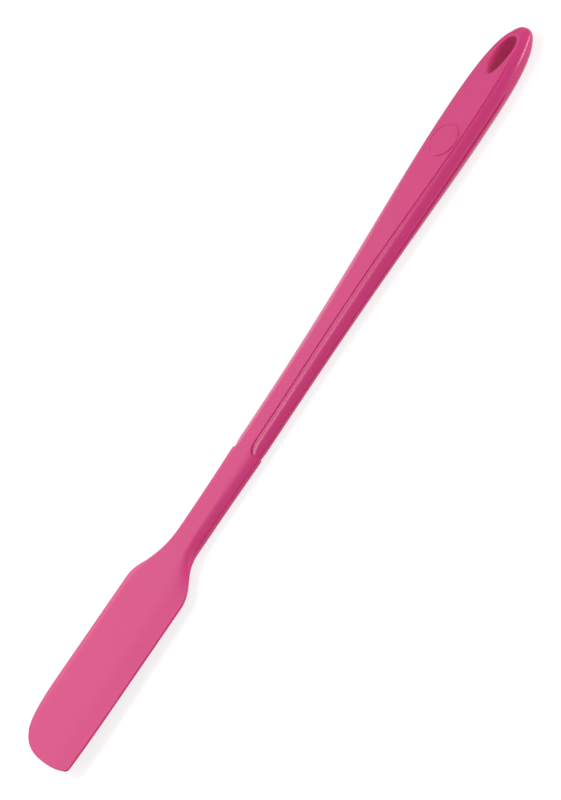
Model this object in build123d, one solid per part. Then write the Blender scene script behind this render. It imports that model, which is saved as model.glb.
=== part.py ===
from build123d import *
import os

# A silicone jar spatula: a matte silicone blade, neck and handle strips moulded in one piece over a stiff
# core, with a glossy handle between the strips. X runs from the blade to the butt, Y across and Z up.
# The origin is on the resting surface, under the middle of the object. Lengths are in millimetres.

# Overall
overall_length = 285.0
head_length = 118.4

# Blade
blade_width = 31.8
blade_length = 60.5
blade_tip_thickness = 1.3
blade_root_thickness = 2.5
blade_rim_thickness = 0.8
blade_rise = 2.1
near_margin_width = 10.9
far_margin_width = 3.9
far_corner_length = 24.4
far_corner_pull = 18.0
tip_pull = 17.0
tip_offset = 7.0
near_corner_setback = 1.3
near_corner_inset = 0.45
near_corner_radius = 0.7
near_edge_curve_length = 20.7

# Shoulders and neck
shoulder_length = 28.0
far_shoulder_start = 3.0
near_shoulder_start = 2.0
neck_width = 12.0
neck_end_width = 13.9
neck_thickness = 5.5
neck_flat_width = 7.4
parting_land = 0.3

# Handle
joint_thickness = 5.6
handle_thickness = 7.2
handle_start_width = 12.9
handle_width = 20.2
handle_straight_length = 10.1
butt_length = 35.5
dome_length = 25.5

# Strips let into the top and bottom of the handle
strip_start_width = 5.74
strip_width = 13.8
strip_straight_length = 29.1
strip_widening_length = 97.0
strip_proud = 0.3
strip_depth = 0.8
strip_end_gap = 3.0
strip_fade_length = 12.0
strip_ledge = 0.15
nose_length = 3.8
nose_width = 2.5

# Hanging hole and the eyelet that lines it
hole_width = 7.2
hole_taper_length = 8.9
hole_round_length = 6.5
hole_from_butt = 11.3
eyelet_wall = 0.8
eyelet_lip_radius = 0.7

# Bare round disc on the upper strip
disc_diameter = 12.3
disc_height = 0.3
disc_from_butt = 46.4

# Stiffening core
core_thickness = 2.0
core_width = 7.0
tongue_thickness = 0.8
tongue_width = 18.0
tongue_tip_gap = 27.0
tongue_shoulder_radius = 6.0
tongue_corner_radius = 8.0
window_length = 9.0
window_width = 5.0
window_pitch = 12.5
window_count = 3
window_first = 9.0
tang_end_width = 9.0
tang_end_gap = 32.0
tang_corner_radius = 4.0

# Keys that join the two strips through the handle and the tang
key_diameter = 2.4
key_sleeve_wall = 0.9
key_first = 22.0
key_end_gap = 37.6
key_count = 4

# Overrun of every cut past the faces that it opens
cut_overrun = 2.0

# Heights closer than this count as level
level_tolerance = 0.00001

# Shape of the curves, without lengths
quarter_arc_share = 0.5523
blade_taper_power = 0.8
rise_power = 1.5
shoulder_power = 1.35
neck_power = 1.5
handle_width_power = 1.2
strip_width_power = 1.4
plan_roundness = 2.35
dome_roundness = 2.5
butt_end_share = 0.998
butt_flat_share = 0.3
margin_crown_share = 0.5
margin_land_share = 0.3
blade_station_shares = (0.0, 0.3, 0.6, 1.0)
shoulder_station_shares = (0.0, 0.05, 0.1, 0.16, 0.24, 0.36, 0.48, 0.6, 0.72, 0.85, 1.0)
neck_station_shares = (0.0, 0.2, 0.4, 0.6, 0.8, 1.0)
curve_station_shares = tuple(step / 12 for step in range(13))
spread_station_shares = (0.0, 0.15, 0.3, 0.45, 0.6, 0.75, 0.9, 1.0)
end_station_shares = (0.0, 0.25, 0.45, 0.62, 0.76, 0.87, 0.94, 0.985, 1.0)
handle_station_shares = (0.0, 0.08, 0.16, 0.25, 0.34, 0.43, 0.52, 0.61, 0.7, 0.8, 0.9)
butt_station_shares = (0.0, 0.12, 0.24, 0.36, 0.48, 0.59, 0.69, 0.78, 0.86, 0.92, 0.96, 0.985, 0.995, 1.0)

# Places along X
x_tip = -overall_length / 2
x_butt = overall_length / 2
x_root = x_tip + blade_length
x_neck = x_root + shoulder_length
x_joint = x_tip + head_length
x_nose = x_joint + nose_length
x_wide = x_butt - butt_length
x_dome = x_butt - dome_length
x_strip_end = x_butt - strip_end_gap
x_hole = x_butt - hole_from_butt
x_disc = x_butt - disc_from_butt
x_tang = x_butt - tang_end_gap

blade_half = blade_width / 2
full_height = handle_thickness + disc_height


def smooth(share):
    """Eases a share from 0 to 1, level at both ends."""
    share = min(max(share, 0), 1)
    return share**2 * (3 - 2 * share)


def smoother(share):
    """Eases a share from 0 to 1, flatter at both ends and steeper between."""
    share = min(max(share, 0), 1)
    return share**3 * (10 - 15 * share + 6 * share**2)


def along(x, start, end):
    """The share of the way from start to end at x, kept between 0 and 1."""
    return min(max((x - start) / (end - start), 0), 1)


def blend(first, last, share):
    """The value a share of the way from first to last."""
    return first + (last - first) * share


def rounded(share, roundness):
    """The height of a quarter of a superellipse, 1 at share 0 and 0 at share 1."""
    return (1 - share**roundness) ** (1 / roundness)


def places(start, end, shares):
    """The places at the given shares of the way from start to end."""
    return [blend(start, end, share) for share in shares]


def strip_height(x):
    """Height of the upper strip over the resting surface, before the butt's dome."""
    share = smooth(along(x, x_joint + handle_straight_length, x_wide))
    return blend(joint_thickness, handle_thickness, share)


def middle(x):
    """Height of the parting plane: half the strips' height, rising again towards the blade's tip."""
    rise = blade_rise * along(x, x_joint, x_tip) ** rise_power
    return strip_height(x) / 2 + rise


def dome(x):
    """Share of the handle's thickness that is left at x as the butt rounds over."""
    end = x_dome + (x_butt - x_dome) / butt_end_share
    return rounded(along(x, x_dome, end), dome_roundness)


def handle_half_thickness(x):
    """Half the thickness of the glossy handle at the strips' edges."""
    return (strip_height(x) / 2 - strip_proud) * dome(x)


def strip_half_thickness(x):
    """Half the thickness over both strips, which end flush with the handle."""
    fade = smooth(along(x, x_strip_end - strip_fade_length, x_strip_end))
    return handle_half_thickness(x) + blend(strip_proud, 0, fade)


def floor_half_thickness(x):
    """Half the distance between the floors of the two channels that hold the strips."""
    return handle_half_thickness(x) - strip_depth


def handle_half_width(x):
    """Half the handle's width in plan, with its pointed oval butt."""
    share = along(x, x_joint + handle_straight_length, x_wide) ** handle_width_power
    end = x_wide + (x_butt - x_wide) / butt_end_share
    width = blend(handle_start_width, handle_width, smooth(share))
    return width / 2 * rounded(along(x, x_wide, end), plan_roundness)


def strip_half_width(x):
    """Half the strips' width in plan, following the handle's edge round the butt."""
    start = x_joint + strip_straight_length
    share = along(x, start, start + strip_widening_length) ** strip_width_power
    width = blend(strip_start_width, strip_width, smooth(share))
    return width / 2 * rounded(along(x, x_wide, x_strip_end), plan_roundness)


def head_half_width(x, shoulder_start):
    """Half the width of the shoulders and neck on a side, as wide as the blade up to the shoulder's start."""
    shoulder = along(x, x_neck, x_root + shoulder_start)
    waist = blend(neck_width, neck_end_width, along(x, x_neck, x_joint) ** neck_power)
    return blend(waist, blade_width, smoother(shoulder**shoulder_power)) / 2


def blade_half_thickness(x):
    """Half the thickness of the blade's flat middle."""
    share = along(x, x_tip, x_root) ** blade_taper_power
    return blend(blade_tip_thickness, blade_root_thickness, share) / 2


def head_half_thickness(x):
    """Half the thickness of the blade's root, the shoulders and the neck."""
    shoulder = smooth(along(x, x_root, x_neck))
    neck = blend(neck_thickness, joint_thickness, along(x, x_neck, x_joint)) / 2
    return blend(blade_half_thickness(x), neck, shoulder)


def cross_section(x, edges, flats, half_thickness, land, fullness):
    """A face across X: flat top and bottom, curved sides and a narrow upright land at the parting line.

    edges and flats are the far and near distances from the middle to the land and to the end of the flat.
    fullness is 0 for the blade's flared margins and 1 for the round sides of the neck and handle.
    """
    crown = blend(margin_crown_share, quarter_arc_share, fullness)
    tail = blend(margin_land_share, 0, fullness)
    drop = blend(0, quarter_arc_share, fullness)
    half_land = land / 2

    def side(sign, edge, flat, upper):
        reach = edge - flat
        fall = half_thickness - half_land
        start = (sign * flat, upper * half_thickness)
        leave = (sign * (flat + crown * reach), upper * half_thickness)
        arrive = (sign * (edge - tail * reach), upper * (half_land + drop * fall))
        end = (sign * edge, upper * half_land)
        return start, leave, arrive, end

    far_upper = side(1, edges[0], flats[0], 1)
    far_lower = side(1, edges[0], flats[0], -1)
    near_upper = side(-1, edges[1], flats[1], 1)
    near_lower = side(-1, edges[1], flats[1], -1)
    plane = Plane(origin=(x, 0, middle(x)), x_dir=(0, 1, 0), z_dir=(1, 0, 0))
    outline = [
        Line(near_upper[0], far_upper[0]),
        Bezier(*far_upper),
        Line(far_upper[3], far_lower[3]),
        Bezier(*reversed(far_lower)),
        Line(far_lower[0], near_lower[0]),
        Bezier(*near_lower),
        Line(near_lower[3], near_upper[3]),
        Bezier(*reversed(near_upper)),
    ]
    return plane * make_face(outline)


def height_curve(height, start, end):
    """The curve of a height over X between two places, straight where the height is level."""
    stations = places(start, end, curve_station_shares)
    heights = [height(x) for x in stations]
    if max(heights) - min(heights) < level_tolerance:
        return Line((start, heights[0]), (end, heights[0]))
    return Spline(list(zip(stations, heights)))


def band(places_along, top, bottom):
    """A slab right across the object between two height curves, with a break at each inner place."""
    pairs = list(zip(places_along, places_along[1:]))
    upper = [height_curve(top, start, end) for start, end in pairs]
    lower = [height_curve(bottom, start, end) for start, end in pairs]
    first = Line(upper[0] @ 0, lower[0] @ 0)
    last = Line(upper[-1] @ 1, lower[-1] @ 1)
    return extrude(Plane.XZ * make_face(upper + lower + [first, last]), blade_half, both=True)


def prism(face):
    """A plan face raised through the whole object."""
    return extrude(Pos(0, 0, -cut_overrun) * face, full_height + 2 * cut_overrun)


def post(x, diameter, bottom, top):
    """An upright round bar between two heights."""
    return extrude(Pos(x, 0, bottom) * Circle(diameter / 2), top - bottom)


def blade_plan():
    """The blade in plan: straight near edge, small near corner, bowed tip and large far corner."""
    near_half = blade_half - near_corner_inset
    near_straight_end = x_tip + near_corner_setback + near_edge_curve_length
    far_edge = Line((x_root, blade_half), (x_tip + far_corner_length, blade_half))
    far_corner = Bezier(
        far_edge @ 1,
        (x_tip + far_corner_length - far_corner_pull, blade_half),
        (x_tip, tip_pull - tip_offset),
        (x_tip, -tip_offset),
    )
    corner = (x_tip + near_corner_setback, -near_half)
    tip_edge = TangentArc(far_corner @ 1, corner, tangent=(0, -1))
    near_curve = TangentArc((near_straight_end, -blade_half), corner, tangent=(-1, 0))
    near_edge = Line(near_curve @ 0, (x_root, -blade_half))
    root = Line(near_edge @ 1, far_edge @ 0)
    plan = make_face([far_edge, far_corner, tip_edge, near_curve, near_edge, root])
    sharp = plan.vertices().sort_by_distance(corner)[0]
    return fillet(sharp, near_corner_radius)


def hole_plan(wall=0):
    """The hanging hole in plan, two half ellipses that meet where it is widest, grown by a wall."""
    half = hole_width / 2 + wall
    taper = EllipticalCenterArc((x_hole, 0), hole_taper_length + wall, half, 90, arc_size=180)
    blunt = EllipticalCenterArc((x_hole, 0), hole_round_length + wall, half, 270, arc_size=180)
    return make_face([taper, blunt])


def strip_plan():
    """Either strip in plan, with a flared root that leaves room for the handle's rounded nose."""
    root_half = strip_half_width(x_nose)
    x_straight = x_joint + strip_straight_length
    flare = EllipticalCenterArc((x_nose, root_half + nose_width), nose_length, nose_width, 180, arc_size=90)
    straight = Line((x_nose, root_half), (x_straight, root_half))
    spread = Spline(
        [(x, strip_half_width(x)) for x in places(x_straight, x_wide, spread_station_shares)],
        tangents=((1, 0), (1, 0)),
    )
    end = Spline(
        [(x, strip_half_width(x)) for x in places(x_wide, x_strip_end, end_station_shares)],
        tangents=((1, 0), (0, -1)),
    )
    half = [flare, straight, spread, end]
    other_half = [mirror(edge, about=Plane.XZ) for edge in half]
    root = Line(flare @ 0, other_half[0] @ 0)
    return make_face(half + other_half + [root])


def blade_section(x):
    """Cross-section of the blade, with its flat nearer to the far edge."""
    edges = (blade_half, blade_half)
    flats = (blade_half - far_margin_width, blade_half - near_margin_width)
    return cross_section(x, edges, flats, blade_half_thickness(x), blade_rim_thickness, 0)


def make_blade():
    """The blade from its tip to its root, thin at the tip and along its edges."""
    stations = [x_tip - cut_overrun] + places(x_tip, x_root, blade_station_shares)[1:]
    lens = loft([blade_section(x) for x in stations])
    return lens & prism(blade_plan())


def neck_section(x):
    """Cross-section of the shoulders and neck, from the blade's thin form to the round neck."""
    share = smooth(along(x, x_root, x_neck))
    neck_flat = blend(neck_flat_width, strip_start_width, along(x, x_neck, x_joint)) / 2
    edges = (head_half_width(x, far_shoulder_start), head_half_width(x, near_shoulder_start))
    flats = (
        blend(blade_half - far_margin_width, neck_flat, share),
        blend(blade_half - near_margin_width, neck_flat, share),
    )
    land = blend(blade_rim_thickness, parting_land, share)
    return cross_section(x, edges, flats, head_half_thickness(x), land, share)


def make_neck():
    """Smooth shoulders and a nearly straight neck, carried on past the joint over the handle's nose."""
    shoulders = loft([neck_section(x) for x in places(x_root, x_neck, shoulder_station_shares)])
    stations = places(x_neck, x_joint, neck_station_shares) + [x_nose]
    return shoulders + loft([neck_section(x) for x in stations], ruled=True)


def handle_section(x):
    """Cross-section of the glossy handle, flat under the strips and on a narrow ledge beside them."""
    half = handle_half_width(x)
    flat = max(strip_half_width(x) + strip_ledge, butt_flat_share * half)
    return cross_section(x, (half, half), (flat, flat), handle_half_thickness(x), parting_land, 1)


def make_handle_form():
    """The handle's outer form from the joint to the butt, ruled between stations that close up at its end."""
    stations = places(x_joint, x_wide, handle_station_shares)
    stations += places(x_wide, x_butt, butt_station_shares)
    return loft([handle_section(x) for x in stations], ruled=True)


def make_strips():
    """Upper and lower strips, joined through the handle by the eyelet and the round keys."""
    run = [x_nose, x_dome, x_strip_end]
    upper = band(
        run,
        lambda x: middle(x) + strip_half_thickness(x),
        lambda x: middle(x) + floor_half_thickness(x),
    )
    lower = band(
        run,
        lambda x: middle(x) - floor_half_thickness(x),
        lambda x: middle(x) - strip_half_thickness(x),
    )
    strips = prism(strip_plan()) & (upper + lower)
    between = band(
        run,
        lambda x: middle(x) + floor_half_thickness(x) + strip_depth / 2,
        lambda x: middle(x) - floor_half_thickness(x) - strip_depth / 2,
    )
    strips += prism(hole_plan(eyelet_wall)) & between
    for x in key_places():
        reach = floor_half_thickness(x) + strip_depth / 2
        strips += post(x, key_diameter, middle(x) - reach, middle(x) + reach)
    return strips


def key_places():
    """Places of the keys, evenly spaced along the tang."""
    shares = [number / (key_count - 1) for number in range(key_count)]
    return places(x_joint + key_first, x_tang - key_end_gap, shares)


def channels():
    """What the handle loses to the strips: both channels, open to the outside."""
    run = [x_joint, x_dome, x_strip_end]
    upper = band(run, lambda x: full_height + cut_overrun, lambda x: middle(x) + floor_half_thickness(x))
    lower = band(run, lambda x: middle(x) - floor_half_thickness(x), lambda x: -cut_overrun)
    return prism(strip_plan()) & (upper + lower)


def core_half_thickness(x):
    """Half the core's thickness, thinner in the blade."""
    return blend(core_thickness, tongue_thickness, smooth(along(x, x_neck, x_root))) / 2


def make_core():
    """The stiff core: a windowed tongue, a plain bar and a tang with holes for the keys."""
    x_tongue = x_tip + tongue_tip_gap
    x_waist = x_root + tongue_shoulder_radius
    half = [
        (x_tongue, tongue_width / 2),
        (x_root, tongue_width / 2),
        (x_waist, core_width / 2),
        (x_joint, core_width / 2),
        (x_tang, tang_end_width / 2),
    ]
    other_half = [(x, -y) for x, y in reversed(half)]
    plan = make_face(Polyline(half + other_half, close=True))
    near_waist = (x_root - cut_overrun, x_waist + cut_overrun)
    plan = fillet(plan.vertices().filter_by_position(Axis.X, *near_waist), tongue_shoulder_radius)
    plan = fillet(plan.vertices().group_by(Axis.X)[0], tongue_corner_radius)
    plan = fillet(plan.vertices().group_by(Axis.X)[-1], tang_corner_radius)
    for number in range(window_count):
        x = x_tongue + window_first + window_pitch * number
        plan -= Pos(x, 0) * SlotOverall(window_length, window_width)
    for x in key_places():
        plan -= Pos(x, 0) * Circle(key_diameter / 2 + key_sleeve_wall)
    slab = band(
        [x_tongue, x_root, x_joint, x_tang],
        lambda x: middle(x) + core_half_thickness(x),
        lambda x: middle(x) - core_half_thickness(x),
    )
    return prism(plan) & slab


def round_lips(head):
    """Rounds the rims of the hanging hole, top and bottom."""
    spare = eyelet_wall / 2
    rims = []
    for edge in head.edges():
        box = edge.bounding_box()
        after_start = box.min.X > x_hole - hole_taper_length - spare
        before_end = box.max.X < x_hole + hole_round_length + spare
        in_width = max(-box.min.Y, box.max.Y) < hole_width / 2 + spare
        if after_start and before_end and in_width and box.size.X > spare:
            rims.append(edge)
    return fillet(rims, eyelet_lip_radius)


def make_head(core):
    """The silicone moulding: blade, neck, strips, eyelet and disc, moulded round the core."""
    neck = make_neck()
    heart = band(
        [x_joint, x_nose],
        lambda x: middle(x) + floor_half_thickness(x),
        lambda x: middle(x) - floor_half_thickness(x),
    )
    beyond = band([x_joint, x_nose], lambda x: full_height, lambda x: -cut_overrun)
    root = (neck & beyond & prism(strip_plan())) - heart
    head = make_blade() + (neck - beyond) + root + make_strips()
    top = strip_height(x_disc)
    head += post(x_disc, disc_diameter, top - strip_depth / 2, top + disc_height)
    head -= prism(hole_plan())
    return round_lips(head) - core


def make_handle(core):
    """The glossy handle, moulded round the tang, with channels for the strips and room for the eyelet."""
    handle = make_handle_form() - channels() - prism(hole_plan(eyelet_wall)) - core
    for x in key_places():
        handle -= post(x, key_diameter, 0, full_height)
    return handle


def main():
    """Makes the three pieces and writes each to its own file."""
    os.makedirs("parts", exist_ok=True)
    core = make_core()
    pieces = {
        "stiffening_core": core,
        "handle_grip": make_handle(core),
        "silicone_head": make_head(core),
    }
    for name, piece in pieces.items():
        export_step(piece, f"parts/{name}.step")
        print(name, piece.is_valid, len(piece.solids()), piece.volume)


if __name__ == "__main__":
    main()
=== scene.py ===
"""Dresses the silicone spatula: fine moulded forms, two finishes, studio and camera."""

import logging
import math
from collections.abc import Callable
from dataclasses import dataclass
from enum import Enum
from functools import cached_property

import bmesh
import bpy
from bmesh.types import BMEdge, BMesh, BMFace, BMVert
from bpy.types import Material, Node, NodeSocket, NodeTree, Object, World
from mathutils import Matrix, Vector

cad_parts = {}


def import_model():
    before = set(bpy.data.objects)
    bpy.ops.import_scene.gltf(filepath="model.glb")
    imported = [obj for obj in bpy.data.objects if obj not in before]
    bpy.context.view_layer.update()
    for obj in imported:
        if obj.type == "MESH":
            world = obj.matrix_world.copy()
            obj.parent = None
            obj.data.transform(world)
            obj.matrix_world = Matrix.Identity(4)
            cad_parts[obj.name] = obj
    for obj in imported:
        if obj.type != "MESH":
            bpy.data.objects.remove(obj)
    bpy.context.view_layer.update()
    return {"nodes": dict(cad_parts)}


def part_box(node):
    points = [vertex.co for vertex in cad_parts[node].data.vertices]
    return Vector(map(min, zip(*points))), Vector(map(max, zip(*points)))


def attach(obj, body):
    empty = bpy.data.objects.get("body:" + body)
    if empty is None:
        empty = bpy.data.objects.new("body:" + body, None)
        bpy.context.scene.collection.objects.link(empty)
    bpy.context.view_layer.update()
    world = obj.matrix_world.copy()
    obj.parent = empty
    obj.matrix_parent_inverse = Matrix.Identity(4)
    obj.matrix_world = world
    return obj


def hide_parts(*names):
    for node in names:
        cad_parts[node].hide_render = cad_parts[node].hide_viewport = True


log = logging.getLogger("spatula")

MM = 0.001
BODY = "root"

# In millimetres: vertices this near are merged, and places this near count as the same
MERGE_DISTANCE = 0.002
LEVEL = 0.01

QUARTER_TURN = math.pi / 2.0
ROUNDED_TURN = math.radians(40.0)
HALVINGS = 40


class Side(Enum):
    """The long edges of the blade: the straight near one, and the far one with the large corner."""

    NEAR = -1
    FAR = 1


class Face(Enum):
    """The upper and lower face of the spatula as it lies."""

    UPPER = 1
    LOWER = -1


def smooth(share: float) -> float:
    """Eases a share from 0 to 1, level at both ends."""
    share = min(max(share, 0.0), 1.0)
    return share**2 * (3.0 - 2.0 * share)


def smoother(share: float) -> float:
    """Eases a share from 0 to 1, flatter at both ends and steeper between."""
    share = min(max(share, 0.0), 1.0)
    return share**3 * (10.0 - 15.0 * share + 6.0 * share**2)


def along(x: float, start: float, end: float) -> float:
    """The share of the way from start to end at x, kept between 0 and 1."""
    return min(max((x - start) / (end - start), 0.0), 1.0)


def blend(first: float, last: float, share: float) -> float:
    """The value a share of the way from first to last."""
    return first + (last - first) * share


def between(start: float, end: float, count: int) -> list[float]:
    """A number of places in equal steps from start to end, without the start."""
    return [blend(start, end, step / count) for step in range(1, count + 1)]


def quarter_turns(count: int) -> list[float]:
    """Turns from 0 to a quarter of a turn, in a number of equal steps."""
    return [0.0] + between(0.0, QUARTER_TURN, count)


def fall(share: float) -> float:
    """How far a quarter of a unit circle falls away, from 0 at share 0 to 1 at share 1."""
    return 1.0 - math.sqrt(1.0 - share**2)


def rounded(share: float, roundness: float) -> float:
    """The height of a quarter of a superellipse, 1 at share 0 and 0 at share 1."""
    return (1.0 - share**roundness) ** (1.0 / roundness)


def cubic(share: float, start: float, leave: float, arrive: float, end: float) -> float:
    """One coordinate of a cubic Bezier curve.

    Args:
        share: how far along the curve, from 0 to 1.
        start: the first control value.
        leave: the second control value.
        arrive: the third control value.
        end: the last control value.

    Returns:
        The curve's value.
    """
    rest = 1.0 - share
    value = rest**3 * start + 3.0 * rest**2 * share * leave
    return value + 3.0 * rest * share**2 * arrive + share**3 * end


def solve(curve: Callable[[float], float], target: float) -> float:
    """The share from 0 to 1 at which a rising curve reaches a target.

    Args:
        curve: a function that rises over the shares.
        target: the value to reach.

    Returns:
        The share, found by halving.
    """
    low, high = 0.0, 1.0
    for _ in range(HALVINGS):
        share = (low + high) / 2.0
        if curve(share) < target:
            low = share
        else:
            high = share
    return high


def new_object(name: str, mesh: BMesh) -> Object:
    """Links an object at the origin with a mesh, which is freed.

    Args:
        name: the object's name.
        mesh: the mesh.

    Returns:
        The object.
    """
    data = bpy.data.meshes.new(name)
    mesh.to_mesh(data)
    mesh.free()
    made = bpy.data.objects.new(name, data)
    bpy.context.scene.collection.objects.link(made)
    return made


@dataclass(frozen=True)
class SideCurve:
    """A cross-section's curve from the end of its flat to the parting line, in millimetres.

    fullness is 0 for the blade's flared margins and 1 for the round sides of the neck and handle.
    The lower half stands proud of the upper one by the ledge, where the two halves of the mould
    met. sunk is how far the parting line lies below the middle, as a share of half the thickness.
    """

    edge: float
    flat: float
    half: float
    half_land: float
    fullness: float
    rim_radius: float
    ledge: float
    sunk: float

    # Pulls of the curve's handles at a fullness of 0 and 1, which is a quarter of a circle
    CROWN = (0.5, 0.5523)
    TAIL = (0.3, 0.0)
    DROP = (0.0, 0.5523)

    # The ledge dies away over this height, and its upper face slopes out over these shares of it
    LEDGE_FADE = 2.2
    SLOPE_REACH = 0.97
    SLOPE_FOOT = 0.45

    def across(self, share: float) -> float:
        """Distance from the middle at a share of the curve.

        Args:
            share: how far down the curve, or on the flat where it is below 0.

        Returns:
            The distance across.
        """
        if share < 0.0:
            return self.flat * (1.0 + share)
        crown = blend(*self.CROWN, self.fullness)
        tail = blend(*self.TAIL, self.fullness)
        return blend(self.flat, self.edge, cubic(share, 0.0, crown, 1.0 - tail, 1.0))

    def height(self, share: float) -> float:
        """Height over the parting plane, with the rim's corner rounded off.

        Args:
            share: how far down the curve, or on the flat where it is below 0.

        Returns:
            The height.
        """
        if share < 0.0:
            return self.half
        drop = blend(*self.DROP, self.fullness)
        height = blend(self.half_land, self.half, cubic(share, 1.0, 1.0, drop, 0.0))
        inset = max((self.edge - self.across(share)) / self.rim_radius, 0.0)
        if inset < 1.0:
            height -= self.rim_radius * fall(1.0 - inset)
        return height

    def rows(self, shares: list[float], face: Face) -> list[tuple[float, float]]:
        """Rows down one face, from the first share to just short of the parting line.

        Args:
            shares: where the rows lie along the curve.
            face: the upper face, or the lower one with its ledge.

        Returns:
            Each row's distance from the middle, and from the parting plane.
        """
        foot = self.half_land - self.rim_radius
        places = [(self.across(share), self.height(share)) for share in shares]
        if face is Face.UPPER:
            slope = self.edge + self.SLOPE_REACH * self.ledge
            rows = places + [(self.edge, foot), (slope, self.SLOPE_FOOT * foot)]
        else:
            proud = self.edge + self.ledge
            grown = [(y + self.ledge * (1.0 - smooth(z / self.LEDGE_FADE)), z) for y, z in places]
            rows = grown + [(proud, foot), (proud, self.SLOPE_FOOT * foot)]
        return [(y, self.level(z, face)) for y, z in rows]

    def level(self, height: float, face: Face) -> float:
        """A height once the parting line is moved off the middle."""
        return height + face.value * self.sunk * (height - self.half)

    @property
    def seam(self) -> tuple[float, float]:
        """The parting line's distance from the middle and its height."""
        return self.edge + self.ledge, -self.sunk * self.half


@dataclass(frozen=True)
class Form:
    """Sizes and curves in millimetres: X runs from the tip to the butt, Y across and Z up."""

    tip: float
    joint: float
    strip_end: float
    butt: float
    blade_half: float
    grip_half: float
    grip_height: float
    grip_base: float

    blade_length: float = 60.5
    tip_thickness: float = 1.3
    root_thickness: float = 2.5
    rim_thickness: float = 0.8
    rim_radius: float = 0.2
    blade_rise: float = 2.1
    near_margin: float = 10.9
    far_margin: float = 3.9
    far_corner_length: float = 24.4
    far_corner_pull: float = 18.0
    tip_pull: float = 17.0
    tip_offset: float = 7.0
    near_setback: float = 1.05
    near_inset: float = 0.45
    near_radius: float = 0.5
    near_curve_length: float = 20.7

    shoulder_length: float = 28.0
    far_shoulder_start: float = 4.2
    near_shoulder_start: float = 2.4
    neck_width: float = 12.0
    neck_end_width: float = 14.0
    collar_taper: float = 0.3
    collar_length: float = 2.6
    neck_thickness: float = 5.5
    neck_flat: float = 7.4
    parting_land: float = 0.3
    parting_radius: float = 0.03
    parting_ledge: float = 0.55
    parting_sunk: float = -0.04
    ledge_end_from_butt: float = 21.0
    ledge_fade: float = 7.0

    joint_thickness: float = 5.6
    grip_start_width: float = 13.5
    grip_straight: float = 10.1
    butt_length: float = 35.5
    dome_length: float = 23.0

    strip_start_width: float = 5.74
    strip_width: float = 13.8
    strip_straight: float = 29.1
    strip_widening: float = 97.0
    strip_depth: float = 0.8
    strip_fade: float = 18.0
    strip_ledge: float = 0.15
    nose_length: float = 3.8
    nose_width: float = 2.0
    nose_drop: float = 0.75
    nose_reach: float = 4.6
    nose_narrowing: float = 0.1

    hole_half: float = 3.6
    hole_taper: float = 8.9
    hole_blunt: float = 6.5
    hole_from_butt: float = 11.3
    eyelet_wall: float = 0.8
    disc_from_butt: float = 46.4

    PLAN_ROUNDNESS = 2.35
    DOME_ROUNDNESS = 2.8
    LEAST_FLAT = 0.3
    FLARE_STEPS = 8

    # Powers that hold a change of size back, where above 1, or bring it forward
    RISE_EASE = 1.5
    BLADE_EASE = 0.8
    SHOULDER_EASE = 1.3
    WAIST_EASE = 1.5
    GRIP_EASE = 1.2
    STRIP_EASE = 1.4

    @classmethod
    def from_frame(cls) -> "Form":
        """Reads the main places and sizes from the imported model.

        Returns:
            The form, with all its other sizes at their own values.
        """
        head_low, head_high = (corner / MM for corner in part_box("silicone_head"))
        grip_low, grip_high = (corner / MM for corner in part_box("handle_grip"))
        return cls(
            tip=head_low.x,
            joint=grip_low.x,
            strip_end=head_high.x,
            butt=grip_high.x,
            blade_half=head_high.y,
            grip_half=grip_high.y,
            grip_height=grip_high.z - grip_low.z,
            grip_base=grip_low.z,
        )

    @property
    def root(self) -> float:
        """Where the blade ends and the shoulders start."""
        return self.tip + self.blade_length

    @property
    def neck(self) -> float:
        """Where the shoulders end and the neck starts."""
        return self.root + self.shoulder_length

    @property
    def nose(self) -> float:
        """Where the flared roots of the strips end, behind the handle's rounded nose."""
        return self.joint + self.nose_length

    @property
    def wide(self) -> float:
        """Where the handle is widest."""
        return self.butt - self.butt_length

    @property
    def dome_start(self) -> float:
        """Where the butt starts to get thinner."""
        return self.butt - self.dome_length

    @property
    def hole(self) -> float:
        """Where the hanging hole is widest."""
        return self.butt - self.hole_from_butt

    @property
    def disc(self) -> float:
        """The middle of the round disc."""
        return self.butt - self.disc_from_butt

    @property
    def full_thickness(self) -> float:
        """Thickness over both strips where the handle is thickest."""
        return self.grip_height + 2.0 * self.grip_base

    def strip_height(self, x: float) -> float:
        """Height of the upper strip over the floor, before the butt's dome."""
        share = smooth(along(x, self.joint + self.grip_straight, self.wide))
        return blend(self.joint_thickness, self.full_thickness, share)

    def middle(self, x: float) -> float:
        """Height of the parting plane, rising towards the blade's tip."""
        rise = self.blade_rise * along(x, self.joint, self.tip) ** self.RISE_EASE
        return self.strip_height(x) / 2.0 + rise

    def dome(self, x: float) -> float:
        """Share of the handle's thickness that is left as the butt rounds over."""
        return rounded(along(x, self.dome_start, self.butt), self.DOME_ROUNDNESS)

    def grip_half_thickness(self, x: float) -> float:
        """Half the thickness of the glossy handle beside the strips."""
        return (self.strip_height(x) / 2.0 - self.grip_base) * self.dome(x)

    def strip_half_thickness(self, x: float) -> float:
        """Half the thickness over both strips, which end flush with the handle."""
        fade = smooth(along(x, self.strip_end - self.strip_fade, self.strip_end))
        return self.grip_half_thickness(x) + blend(self.grip_base, 0.0, fade)

    def floor_half_thickness(self, x: float) -> float:
        """Half the distance between the floors of the two channels that hold the strips."""
        return max(self.grip_half_thickness(x) - self.strip_depth, 0.0)

    def flare_places(self) -> list[float]:
        """Stations along the flared roots of the strips, closest where they flare most."""
        turns = quarter_turns(self.FLARE_STEPS)
        return [self.nose - self.nose_length * math.cos(turn) for turn in turns]

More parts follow.
